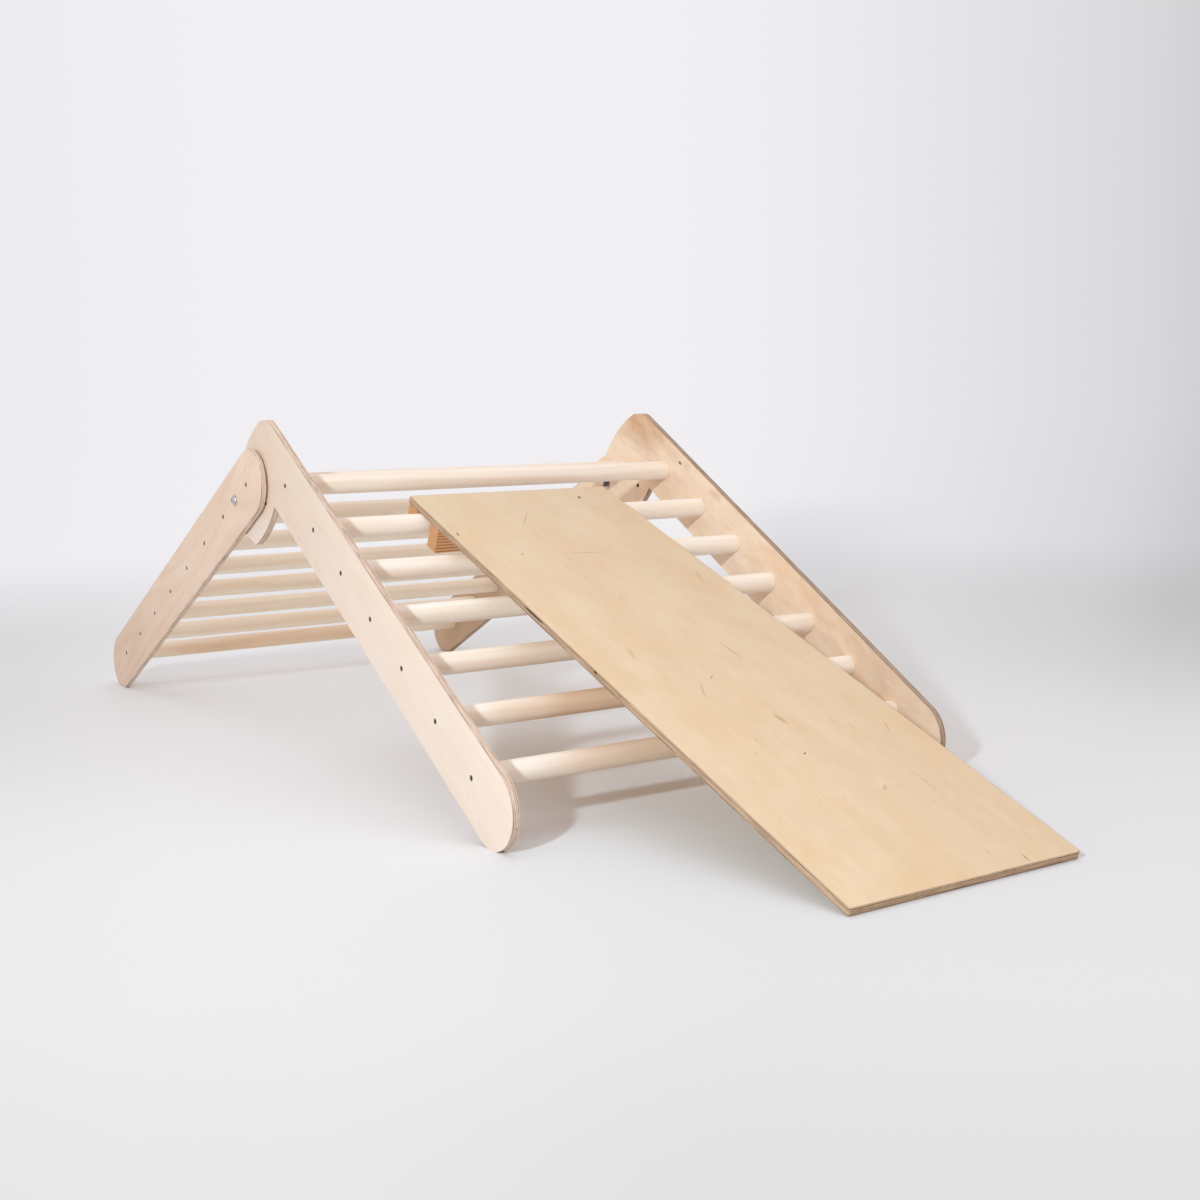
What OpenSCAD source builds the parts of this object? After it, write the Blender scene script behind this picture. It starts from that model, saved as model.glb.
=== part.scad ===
// Folding climbing triangle with a ramp.
// Two ladders of dowel rungs between plywood panels turn on a pair of bolts, and a plain
// board hooks over the second rung of the front ladder with its low end on the floor.
// X runs along the rungs, Y from the ramp's low end to the rear feet, Z up from the floor.
// The origin is on the floor under the middle of the whole object.

/* [Both ladders] */
// Width over the outer faces of the front ladder's panels
front_w = 800; // [600:10:1000]
// Thickness of the plywood panels
panel_t = 12; // [10:0.5:15]
// Width of a panel, which is also the diameter of its round ends
panel_w = 118; // [112:1:124]
// Diameter of the rungs
rung_d = 35; // [30:0.5:36]
// Gap between a front panel and the rear panel beside it
side_gap = 2.4; // [2:0.1:4]

/* [Front ladder] */
// Angle between the front ladder and the floor
front_slope = 31.2; // [28:0.2:35]
// Distance from the pivot to the line of the front rungs, square to the ladder
front_line = 133.2; // [128:0.2:138]
// Distance from the pivot down the ladder to the top rung
front_top = 161; // [155:0.5:170]
// Distance between the top rung and the second, which carries the ramp
front_gap = 133.5; // [120:0.5:145]
// Distance between the other front rungs
front_pitch = 122.5; // [110:0.5:130]
// Distance from the lowest rung to the centre of the round foot
front_foot = 62; // [56:0.5:70]

/* [Rear ladder] */
// Angle between the rear ladder and the floor
rear_slope = 26.3; // [25:0.1:28]
// Distance from the pivot down the ladder to the top rear rung
rear_top = 74; // [70:0.5:78]
// Distance between rear rungs
rear_pitch = 124.7; // [124:0.1:126]
// Distance from the lowest rung to the centre of the round foot
rear_foot = 54.6; // [52:0.2:58]
// Distance from the line of the rear rungs to the middle line of the rear panels
rear_drop = 2.5; // [0:0.1:4]
// Distance from the pivot up the panel to the centre of its round upper end
rear_tail = 79; // [74:0.5:84]

/* [Head plates] */
// Distance from the pivot to the head rung, up the line of the rear rungs
head_rung_r = 66.2; // [62:0.2:70]
// Height of the flat top over the pivot
head_h = 141.6; // [140:0.1:143]
// Radius of the round corner before the flat top
head_nose_r = 39; // [30:1:44]
// Radius of the round corner behind the flat top
head_corner_r = 24; // [16:1:28]
// Radius of the long curve down the back of the head
head_back_r = 217.4; // [216:0.1:218.5]
// Centre of that curve, along and square to the ladder
head_back_c = [-185.9, 39.1];
// Radius of the long curve down the front of the ear
ear_r = 220; // [216:0.5:224]
// Centre of that curve, along and square to the ladder
ear_c = [84, 98];
// Direction of the ear's tip from that centre
ear_tip_angle = 217; // [214:0.5:218]
// Radius of the ear's tip
ear_tip_r = 10; // [6:0.5:14]
// Clearance between the round of the head plate and the top rear rung
hub_gap = 1; // [0.5:0.1:2]
// Diameter of the spare hole in each head plate
spare_d = 8; // [5:0.5:10]
// Place of the spare hole, along and square to the ladder from the pivot
spare_at = [-98.8, 57.4];

/* [Pivot bolts] */
// Diameter of the bolts
bolt_d = 8; // [6:0.5:10]
// Diameter of the domed bolt heads
bolt_head_d = 17; // [14:0.5:18]
// Height of the domed bolt heads
bolt_head_h = 4.6; // [3:0.2:6]
// Outer diameter of the washers outside and between the panels
washer_d = 20; // [18:0.5:24]
// Outer diameter of the washers inside the front panels
inner_washer_d = 24; // [20:0.5:30]
// Thickness of the washers outside and inside
washer_t = 1.6; // [1:0.1:2.5]
// Width of the nuts across their flats
nut_w = 13; // [13:0.5:17]
// Thickness of the nuts
nut_h = 6.5; // [5:0.5:9]
// Length of bolt that stands out of a nut
bolt_tail = 2.5; // [1:0.5:6]

/* [Wood screws] */
// Diameter of the screw shanks
screw_d = 4; // [3:0.2:5]
// Diameter of the countersunk screw heads
screw_head_d = 8.4; // [7:0.2:10]
// Height of the countersunk screw heads
screw_head_h = 2.6; // [2:0.1:3.5]
// Length of the screws that hold the rungs
screw_len = 50; // [30:1:60]

/* [Ramp] */
// Length of the ramp
ramp_len = 1200; // [900:10:1400]
// Width of the ramp
ramp_w = 400; // [300:10:500]
// Thickness of the ramp's board
ramp_t = 12; // [9:0.5:18]
// Distance of the ramp's middle from the middle of the ladder
ramp_x = -6; // [-80:1:80]
// Length of ramp past the rung that carries it
ramp_past = 51.6; // [50:0.2:60]
// Radius of the board's corners, seen from above
ramp_corner_r = 4; // [2:0.5:10]
// Depth of the battens under the board
batten_h = 45; // [30:1:50]
// Thickness of the battens, along the ramp
batten_t = 30; // [20:1:32]
// Distance from the middle of the rung to the lower batten
batten_below = 31; // [20:0.5:40]
// Distance from the ends of the battens to the edges of the board
batten_inset = 3; // [0:0.5:20]
// Depth of the bored holes that hold the heads of the batten screws
batten_bore = 25; // [10:1:28]
// Depth to which the batten screws reach into the board
batten_bite = 8; // [4:0.5:8]

/* [Hidden] */
RUNGS = 7; // rungs of each ladder, not counting the head rung
run_gap = 0.3; // between pieces that turn against each other
fit = 0.05; // round a shank or a bolt in its hole
end_gap = 1; // past the point of a screw
socket_d = 3.2; // hexagon socket of a screw
socket_h = 1.5;
bolt_socket_d = 5.8; // hexagon socket of a bolt
bolt_socket_h = 2.5;
flank_rise = 5.5; // how far the ear's flank ends outside the round of the head plate
flank_angle = 233; // direction of that point, from the pivot
hub_from = 245; // the round of the head plate starts here
hub_to = 415.5; // and ends here
arc_step = 5; // degrees between the points of an arc
edge_over = 1; // by which a cut reaches past a face
$fn = 64;

half_w = panel_w / 2;
rung_r = rung_d / 2;
front_out = front_w / 2; // outer face of a front panel
front_in = front_out - panel_t;
rear_in = front_out + side_gap;
rear_out = rear_in + panel_t;
hub_r = rear_top - rung_r - hub_gap;

// Distances of the rungs and feet down each ladder from the pivot, rung 1 the top front rung
// and the lowest rear rung
function front_at(i) = front_top + (i > 1 ? front_gap : 0) + max(0, i - 2) * front_pitch;
function rear_at(i) = rear_top + (RUNGS - i) * rear_pitch;
front_foot_at = front_at(RUNGS) + front_foot;
rear_foot_at = rear_at(1) + rear_foot;

// Where a point on a ladder lies from the pivot, as [y, z]: s down the ladder, p square to it
function front_off(s, p) = [-s * cos(front_slope) - p * sin(front_slope),
    -s * sin(front_slope) + p * cos(front_slope)];
function rear_off(s, p) = [s * cos(rear_slope) + p * sin(rear_slope),
    -s * sin(rear_slope) + p * cos(rear_slope)];

// The feet are cut off at the floor, by foot_cut under the round front foot
foot_cut = 0.8;
pivot_z = half_w - foot_cut - front_off(front_foot_at, front_line).y;

// The ramp lies on its rung and its low end touches the floor
ramp_low = ramp_len - ramp_past;
ramp_seat = rung_r + run_gap;
hook_off = front_off(front_at(2), front_line);
ramp_slope = asin((pivot_z + hook_off.y) / norm([ramp_low, ramp_seat])) + atan(ramp_seat / ramp_low);
front_reach = -hook_off.x + ramp_low * cos(ramp_slope) + (ramp_seat + ramp_t) * sin(ramp_slope);
rear_reach = rear_off(rear_foot_at, -rear_drop).x + half_w;
pivot_y = (front_reach - rear_reach) / 2;
pivot = [pivot_y, pivot_z];

function front_pt(s, p) = pivot + front_off(s, p);
function rear_pt(s, p) = pivot + rear_off(s, p);
function front_rung_pt(i) = front_pt(front_at(i), front_line);
function rear_rung_pt(i) = rear_pt(rear_at(i), 0);
head_pt = rear_pt(-head_rung_r, 0);

LEFT = -1;
RIGHT = 1;

// Points of an arc about c, from angle a0 to a1
function arc(c, r, a0, a1) =
    let (n = max(2, ceil(abs(a1 - a0) / arc_step)))
    [for (i = [0 : n]) c + r * [for (f = [0, 90]) cos(a0 + (a1 - a0) * i / n - f)]];

// Direction in which a circle's outer tangent from point q touches it
function touch_angle(c, r, q) = atan2(q.y - c.y, q.x - c.x) - acos(r / norm(q - c));

// Outline of a front panel and its head plate about the pivot, x up the ladder
flank_pt = (hub_r + flank_rise) * [cos(flank_angle), sin(flank_angle)];
notch_angle = 180 + asin((ear_c.y - front_line + half_w) / ear_r);
tip_c = ear_c + (ear_r - ear_tip_r) * [cos(ear_tip_angle), sin(ear_tip_angle)];
up_angle = 90 - front_slope; // straight up, seen along the ladder
up = [cos(up_angle), sin(up_angle)];
corner_angle = up_angle
    - acos((head_h - head_corner_r - head_back_c * up) / (head_back_r - head_corner_r));
corner_c = head_back_c
    + (head_back_r - head_corner_r) * [cos(corner_angle), sin(corner_angle)];
nose_p = front_line + half_w - head_nose_r;
nose_c = [(head_h - head_nose_r - nose_p * up.y) / up.x, nose_p];
back_to = asin((hub_r * sin(hub_to) - head_back_c.y) / head_back_r);
front_outline = concat(
    arc([-front_foot_at, front_line], half_w, 90, 270),
    arc(ear_c, ear_r, notch_angle, ear_tip_angle),
    arc(tip_c, ear_tip_r, ear_tip_angle, 360 + touch_angle(tip_c, ear_tip_r, flank_pt)),
    [flank_pt],
    arc([0, 0], hub_r, hub_from, hub_to),
    arc(head_back_c, head_back_r, back_to, corner_angle),
    arc(corner_c, head_corner_r, corner_angle, up_angle),
    arc(nose_c, head_nose_r, up_angle, 90));

module front_shape() { polygon(front_outline); }

module rear_shape() {
    translate([-rear_tail, -rear_drop - half_w]) square([rear_tail + rear_foot_at, panel_w]);
    for (s = [-rear_tail, rear_foot_at]) translate([s, -rear_drop]) circle(half_w, $fn = 128);
}

// Puts a flat shape on one side, from x = lo to hi away from the middle, turned by a slope
module side_plate(side, lo, hi, slope) {
    x = side == RIGHT ? lo : -hi;
    translate([x, pivot.x, pivot.y]) rotate([slope, 0, 0]) rotate([90, 0, 90])
        linear_extrude(hi - lo) children();
}

// Turns a piece that is drawn from its outer face along +Z into the side at point p
module from_side(side, face, p) {
    translate([side * face, p.x, p.y]) rotate([0, -side * 90, 0]) children();
}

module below_floor() {
    translate([-front_w, -ramp_len * 2, -panel_w]) cube([2 * front_w, 4 * ramp_len, panel_w]);
}

// Hole of a countersunk screw through a panel
module screw_hole() {
    translate([0, 0, -edge_over])
        cylinder(h = panel_t + 2 * edge_over, d = screw_d + 2 * fit);
    translate([0, 0, -fit])
        cylinder(h = screw_head_h + fit, d1 = screw_head_d + 4 * fit, d2 = screw_d + 2 * fit);
}

module pivot_hole() {
    translate([0, 0, -edge_over]) cylinder(h = panel_t + 2 * edge_over, d = bolt_d + 2 * fit);
}

module front_panel(side) {
    color("#ead9c0") difference() {
        side_plate(side, front_in, front_out, front_slope) front_shape();
        for (i = [1 : RUNGS]) from_side(side, front_out, front_rung_pt(i)) screw_hole();
        from_side(side, front_out, head_pt) screw_hole();
        from_side(side, front_out, pivot) pivot_hole();
        from_side(side, front_out, front_pt(-spare_at.x, spare_at.y))
            translate([0, 0, -edge_over]) cylinder(h = panel_t + 2 * edge_over, d = spare_d);
        below_floor();
    }
}

module rear_panel(side) {
    color("#e2ccb0") difference() {
        side_plate(side, rear_in, rear_out, -rear_slope) rear_shape();
        for (i = [1 : RUNGS]) from_side(side, rear_out, rear_rung_pt(i)) screw_hole();
        from_side(side, rear_out, head_pt) screw_hole();
        from_side(side, rear_out, pivot) pivot_hole();
        below_floor();
    }
}

// A rung at point p whose ends meet the inner faces of two panels, bored for its screws
module rung(p, face) {
    bore = screw_len - panel_t + end_gap;
    difference() {
        translate([0, p.x, p.y]) rotate([0, 90, 0]) cylinder(h = 2 * face, r = rung_r, center = true);
        for (side = [LEFT, RIGHT]) from_side(side, face, p)
            translate([0, 0, -edge_over]) cylinder(h = bore + edge_over, d = screw_d + 2 * fit);
    }
}

module front_rung(i) { color("#ecdcbc") rung(front_rung_pt(i), front_in); }
module rear_rung(i) { color("#dcc29a") rung(rear_rung_pt(i), rear_in); }
module head_rung() { color("#ecdcbc") rung(head_pt, front_in); }

// A countersunk screw from its face along +Z
module screw(length) {
    color("#4a4a4c") difference() {
        union() {
            cylinder(h = screw_head_h, d1 = screw_head_d, d2 = screw_d);
            cylinder(h = length, d = screw_d);
        }
        translate([0, 0, -edge_over]) cylinder(h = socket_h + edge_over, d = socket_d, $fn = 6);
    }
}

module front_screws(side) {
    for (i = [1 : RUNGS]) from_side(side, front_out, front_rung_pt(i)) screw(screw_len);
}

module rear_screws(side) {
    for (i = [1 : RUNGS]) from_side(side, rear_out, rear_rung_pt(i)) screw(screw_len);
}

module head_screws() {
    for (side = [LEFT, RIGHT]) from_side(side, front_out, head_pt) screw(screw_len);
}

// The screws that lock the wide stand: drawn only as far as they reach in the rear panels
module lock_screws() {
    for (side = [LEFT, RIGHT]) from_side(side, rear_out, head_pt) screw(panel_t);
}

// From outside in: head, outer washer, rear panel, spacer washer, front panel, washer, nut
head_seat = rear_out + run_gap + washer_t;
nut_seat = front_in - washer_t;

module ring(outer, inner, height) {
    difference() {
        cylinder(h = height, d = outer);
        translate([0, 0, -edge_over]) cylinder(h = height + 2 * edge_over, d = inner);
    }
}

// The dome is part of a ball that meets the rim of the head's flat underside
module pivot_bolt(side) {
    ball_r = (pow(bolt_head_d / 2, 2) + pow(bolt_head_h, 2)) / (2 * bolt_head_h);
    color("#c9ccd0") from_side(side, head_seat, pivot) difference() {
        union() {
            intersection() {
                translate([0, 0, ball_r - bolt_head_h]) sphere(ball_r);
                translate([0, 0, -bolt_head_h]) cylinder(h = bolt_head_h, d = bolt_head_d + 2);
            }
            cylinder(h = head_seat - nut_seat + nut_h + bolt_tail, d = bolt_d);
        }
        translate([0, 0, -bolt_head_h - edge_over])
            cylinder(h = bolt_socket_h + edge_over, d = bolt_socket_d, $fn = 6);
    }
}

module pivot_nut(side) {
    color("#8f9296") from_side(side, nut_seat, pivot) difference() {
        cylinder(h = nut_h, d = nut_w / cos(30), $fn = 6);
        translate([0, 0, -edge_over]) cylinder(h = nut_h + 2 * edge_over, d = bolt_d + 2 * fit);
    }
}

module outer_washer(side) {
    color("#bcbfc3") from_side(side, head_seat, pivot) ring(washer_d, bolt_d + 2 * fit, washer_t);
}

module spacer_washer(side) {
    height = side_gap - run_gap;
    color("#bcbfc3") from_side(side, front_out + height, pivot)
        ring(washer_d, bolt_d + 2 * fit, height);
}

module inner_washer(side) {
    color("#bcbfc3") from_side(side, front_in, pivot) ring(inner_washer_d, bolt_d + 2 * fit, washer_t);
}

// Puts a piece of the ramp in place: x across, y up the ramp from the rung's axis, z up from
// the board's underside
module on_ramp() {
    hook = front_rung_pt(2);
    translate([ramp_x, hook.x, hook.y]) rotate([ramp_slope, 0, 0])
        translate([0, 0, ramp_seat]) children();
}

module rounded_board(w, l, r) {
    translate([r - w / 2, 0]) square([w - 2 * r, l]);
    translate([-w / 2, r]) square([w, l - 2 * r]);
    for (x = [r - w / 2, w / 2 - r], y = [r, l - r]) translate([x, y]) circle(r);
}

upper_at = ramp_past - batten_t;
lower_at = -batten_below - batten_t;
batten_len = ramp_w - 2 * batten_inset;

// The batten screws, three to a batten, from the underside of the batten up into the board
module at_batten_screws(at) {
    for (i = [-1 : 1]) translate([i * batten_len * 3 / 8, at + batten_t / 2, -batten_h])
        children();
}

module ramp_board() {
    color("#dcb987") on_ramp() difference() {
        translate([0, -ramp_low, 0]) linear_extrude(ramp_t) rounded_board(ramp_w, ramp_len, ramp_corner_r);
        for (at = [upper_at, lower_at]) at_batten_screws(at) translate([0, 0, batten_h - edge_over])
            cylinder(h = batten_bite + edge_over + fit, d = screw_d + 2 * fit);
    }
}

module ramp_batten(at) {
    color("#c98a4b") on_ramp() difference() {
        translate([-batten_len / 2, at, -batten_h]) cube([batten_len, batten_t, batten_h]);
        at_batten_screws(at) {
            translate([0, 0, -edge_over]) cylinder(h = batten_bore + edge_over, d = screw_head_d + 1);
            cylinder(h = batten_h + edge_over, d = screw_d + 2 * fit);
            translate([0, 0, batten_bore - fit])
                cylinder(h = screw_head_h + fit, d1 = screw_head_d + 4 * fit, d2 = screw_d + 2 * fit);
        }
    }
}

module ramp_batten_upper() { ramp_batten(upper_at); }
module ramp_batten_lower() { ramp_batten(lower_at); }

module ramp_screws() {
    on_ramp() for (at = [upper_at, lower_at]) at_batten_screws(at)
        translate([0, 0, batten_bore]) screw(batten_h - batten_bore + batten_bite);
}

front_panel(LEFT);  // front_panel_left
front_panel(RIGHT);  // front_panel_right
rear_panel(LEFT);  // rear_panel_left
rear_panel(RIGHT);  // rear_panel_right
for (i = [1 : RUNGS]) {
    front_rung(i);
    rear_rung(i);
}
head_rung();
front_screws(LEFT);  // front_screws_left
front_screws(RIGHT);  // front_screws_right
head_screws();
rear_screws(LEFT);  // rear_screws_left
rear_screws(RIGHT);  // rear_screws_right
lock_screws();
pivot_bolt(LEFT);  // pivot_bolt_left
pivot_bolt(RIGHT);  // pivot_bolt_right
pivot_nut(LEFT);  // pivot_nut_left
pivot_nut(RIGHT);  // pivot_nut_right
outer_washer(LEFT);  // outer_washer_left
outer_washer(RIGHT);  // outer_washer_right
spacer_washer(LEFT);  // spacer_washer_left
spacer_washer(RIGHT);  // spacer_washer_right
inner_washer(LEFT);  // inner_washer_left
inner_washer(RIGHT);  // inner_washer_right
ramp_board();
ramp_batten_upper();
ramp_batten_lower();
ramp_screws();
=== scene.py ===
# %% [markdown]
# # Dressing a folding climbing triangle
#
# The object is a pair of ladders of dowel rungs between plywood panels, hinged at two bolts, and a
# plywood ramp that hooks over a rung. This script adds what the eye needs: rounded plywood edges,
# grain, layered edges, steel, light and a camera. Everything is in metres, in the model's own
# frame: X along the rungs, Y from the ramp's low end to the rear feet, Z up from the floor.

# %% Load the frame
import math

import bmesh
import bpy
from mathutils import Matrix, Vector


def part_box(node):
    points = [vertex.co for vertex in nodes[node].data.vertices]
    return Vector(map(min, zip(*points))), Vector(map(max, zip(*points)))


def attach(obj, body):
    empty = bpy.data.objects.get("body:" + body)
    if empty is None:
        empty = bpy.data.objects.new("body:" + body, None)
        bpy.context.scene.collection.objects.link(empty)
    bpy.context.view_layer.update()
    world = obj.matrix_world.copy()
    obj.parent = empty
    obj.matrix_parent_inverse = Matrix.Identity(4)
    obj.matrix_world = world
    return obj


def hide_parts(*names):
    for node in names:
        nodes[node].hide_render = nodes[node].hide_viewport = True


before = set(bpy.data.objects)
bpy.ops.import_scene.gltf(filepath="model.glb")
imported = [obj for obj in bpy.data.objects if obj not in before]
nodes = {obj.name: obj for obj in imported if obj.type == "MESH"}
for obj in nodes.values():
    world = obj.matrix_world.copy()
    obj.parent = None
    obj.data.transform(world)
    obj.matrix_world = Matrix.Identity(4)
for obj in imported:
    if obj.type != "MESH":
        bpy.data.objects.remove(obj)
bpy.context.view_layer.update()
MM = 0.001

# %% [markdown]
# A few facts are read back from the frame, so that a change of size needs no change here: where each
# rung is, how thick it is, and how steep the ladders and the ramp are.

# %% Places and slopes
def middle(node):
    """The centre of a CAD node's box."""
    low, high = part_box(node)
    return (low + high) / 2


def slope_between(lower, upper):
    """The angle from the floor of the line through two points, seen along X."""
    return math.atan2(upper.z - lower.z, upper.y - lower.y)


RUNGS = range(1, 8)
front_rungs = [middle(f"front_rung_{i}") for i in RUNGS]
rear_rungs = [middle(f"rear_rung_{i}") for i in RUNGS]
front_slope = slope_between(front_rungs[-1], front_rungs[0])
rear_slope = slope_between(rear_rungs[0], rear_rungs[-1])
ramp_slope = slope_between(middle("ramp_batten_lower"), middle("ramp_batten_upper"))
rung_r = (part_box("head_rung")[1].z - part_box("head_rung")[0].z) / 2
print("slopes", [round(math.degrees(a), 2) for a in (front_slope, rear_slope, ramp_slope)])

# %% [markdown]
# ## Camera
#
# The camera stands a little left of the front ladder, at about the height of a child's eyes, and looks
# slightly down. Its place and turn were worked out from the picture's perspective. A camera's matrix
# holds its right, up and backward directions as columns, so it can be written from three angles. The
# Standard view transform shows a colour as it is, where the default one would grey the whites.

# %% Camera
CAMERA_AT = Vector((-1.391, -2.4297, 0.5811))
CAMERA_YAW = math.radians(32.98)  # from +Y towards +X
CAMERA_PITCH = math.radians(-6.69)
CAMERA_ROLL = math.radians(-1.11)
SENSOR = 36.0
LENS = 46.59


def camera_turn(yaw, pitch, roll):
    """A rotation whose columns are the camera's right, up and backward directions."""
    forward = Vector((math.sin(yaw) * math.cos(pitch), math.cos(yaw) * math.cos(pitch), math.sin(pitch)))
    level = Vector((math.cos(yaw), -math.sin(yaw), 0.0))
    upright = level.cross(forward)
    right = math.cos(roll) * level + math.sin(roll) * upright
    up = -math.sin(roll) * level + math.cos(roll) * upright
    return Matrix((right, up, -forward)).transposed()


camera_data = bpy.data.cameras.new("camera")
camera_data.sensor_width = SENSOR
camera_data.lens = LENS
camera = bpy.data.objects.new("camera", camera_data)
turn = camera_turn(CAMERA_YAW, CAMERA_PITCH, CAMERA_ROLL)
camera.matrix_world = Matrix.Translation(CAMERA_AT) @ turn.to_4x4()
bpy.context.collection.objects.link(camera)
bpy.context.scene.camera = camera
bpy.context.scene.view_settings.view_transform = "Standard"
print("camera", [round(v, 3) for v in CAMERA_AT], "lens", LENS, "mm")

# %% [markdown]
# ## Node trees as arithmetic
#
# Materials here are formulas: a grain is a few waves added, multiplied and clamped. Wiring Math nodes
# by hand hides the formula, so a small class wraps a socket and lets Python's own operators add the
# nodes. Any other node comes from `Tree.add`, which sets the node's settings before its sockets.

# %% Wires and trees
class Tree:
    """A node tree that nodes are added to."""

    def __init__(self, tree):
        self.tree = tree

    def add(self, kind, sockets=None, output=0, **settings):
        """Adds a node: its settings, then its sockets' values or wires. Gives one of its outputs."""
        made = self.tree.nodes.new(kind)
        for name, value in settings.items():
            setattr(made, name, value)
        for name, value in (sockets or {}).items():
            if isinstance(value, Wire):
                self.tree.links.new(value.socket, made.inputs[name])
            else:
                made.inputs[name].default_value = value
        return Wire(self, made.outputs[output]) if made.outputs else None


class Wire:
    """An output socket that takes part in arithmetic on numbers."""

    def __init__(self, owner, socket):
        self.owner = owner
        self.socket = socket

    def math(self, operation, *others, first=None):
        values = [self if first is None else first, *others]
        return self.owner.add("ShaderNodeMath", dict(enumerate(values)), operation=operation)

    def out(self, name):
        """Another output of the same node."""
        return Wire(self.owner, self.socket.node.outputs[name])

    def __add__(self, other):
        return self.math("ADD", other)

    __radd__ = __add__

    def __sub__(self, other):
        return self.math("SUBTRACT", other)

    def __rsub__(self, other):
        return self.math("SUBTRACT", self, first=other)

    def __mul__(self, other):
        return self.math("MULTIPLY", other)

    def __truediv__(self, other):
        return self.math("DIVIDE", other)

    def sin(self):
        return self.math("SINE")

    def fraction(self):
        return self.math("FRACT")

    def absolute(self):
        return self.math("ABSOLUTE")

    def at_most(self, limit):
        return self.math("MINIMUM", limit)

    def at_least(self, limit):
        return self.math("MAXIMUM", limit)

    def ease(self, low, high):
        """0 below low, 1 above high, smooth between them; low may be above high."""
        sockets = {0: self, 1: low, 2: high, 3: 0.0, 4: 1.0}
        return self.owner.add("ShaderNodeMapRange", sockets, interpolation_type="SMOOTHSTEP")


# %% [markdown]
# Colours are written the way a screen shows them, from 0 to 255, and a shader wants them linear. Mixing
# takes a Mix node, because a Math node would turn a colour grey.

# %% Colours
def rgb(red, green, blue):
    """A colour as it is read off a screen, from 0 to 255, made linear for a shader."""
    parts = [v / 255 for v in (red, green, blue)]
    return tuple(v / 12.92 if v <= 0.04045 else ((v + 0.055) / 1.055) ** 2.4 for v in parts)


def blend(tree, amount, first, second, how="MIX"):
    """Two colours mixed by an amount from 0 to 1; each is a wire or three numbers."""
    pair = [value if isinstance(value, Wire) else (*value, 1.0) for value in (first, second)]
    sockets = {0: amount, 6: pair[0], 7: pair[1]}
    return tree.add("ShaderNodeMix", sockets, output=2, data_type="RGBA", blend_type=how)


# %% [markdown]
# A finish is a Principled surface. Colour, roughness and the height that drives the bump are wires;
# what is the same all over is set on the shader's own socket. Patterns read Object coordinates, which
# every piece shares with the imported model, so a pattern stays on its piece when a joint moves it.

# %% Finishes
def new_finish(name):
    """An empty material and the tree to fill."""
    print("finish", name)
    material = bpy.data.materials.new(name)
    material.use_nodes = True
    material.node_tree.nodes.clear()
    return material, Tree(material.node_tree)


def surface(tree, colour, roughness, height, bump, **constants):
    """Ends a material. bump is the height in metres that a change of 1 in `height` stands for."""
    raised = tree.add("ShaderNodeBump", {"Height": height, "Distance": bump, "Strength": 1.0})
    sockets = {"Base Color": colour, "Roughness": roughness, "Normal": raised, **constants}
    shader = tree.add("ShaderNodeBsdfPrincipled", sockets)
    tree.add("ShaderNodeOutputMaterial", {"Surface": shader})


def laid_along(tree, slope=0.0, at=(0.0, 0.0, 0.0)):
    """Object coordinates turned so that Y runs up a slope, with the point `at` at the origin."""
    here = tree.add("ShaderNodeTexCoord", output="Object")
    moved = tree.add("ShaderNodeMapping", {"Vector": here, "Location": [-v for v in at]})
    return tree.add("ShaderNodeMapping", {"Vector": moved, "Rotation": (-slope, 0.0, 0.0)})


def parts_of(tree, vector):
    """The three numbers of a vector."""
    split = tree.add("ShaderNodeSeparateXYZ", {"Vector": vector})
    return [split.out(axis) for axis in "XYZ"]


def noise(tree, vector, stretch, detail=2.0, roughness=0.5, distortion=0.0):
    """Noise from 0 to 1 whose scale is given per axis, in waves per metre."""
    scaled = tree.add("ShaderNodeMapping", {"Vector": vector, "Scale": stretch})
    sockets = {"Vector": scaled, "Scale": 1.0, "Detail": detail, "Roughness": roughness}
    return tree.add("ShaderNodeTexNoise", {**sockets, "Distortion": distortion})


# %% [markdown]
# ## Birch plywood, faces
#
# The face veneer of birch plywood is peeled off the log like paper off a roll. It cuts each year ring at
# a very flat angle, so the rings show as broad wavy contours along the grain. A slow noise field,
# long along the grain, stands for the depth of the cut in the log; the sine of many times that field
# draws its contour lines. Fine fibres, faint warm and pale patches, and short dark flecks go on top, and
# last the few small knots and stains that tell one panel from another.

# %% Plywood face
KNOT = rgb(72, 46, 30)
STAIN = rgb(178, 124, 66)
KNOT_FROM = 0.8  # a mark this strong is a knot, a weaker one a stain
FINE_RINGS, BROAD_RINGS = 95.0, 31.0  # contours of the two figures over the full depth field


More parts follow.
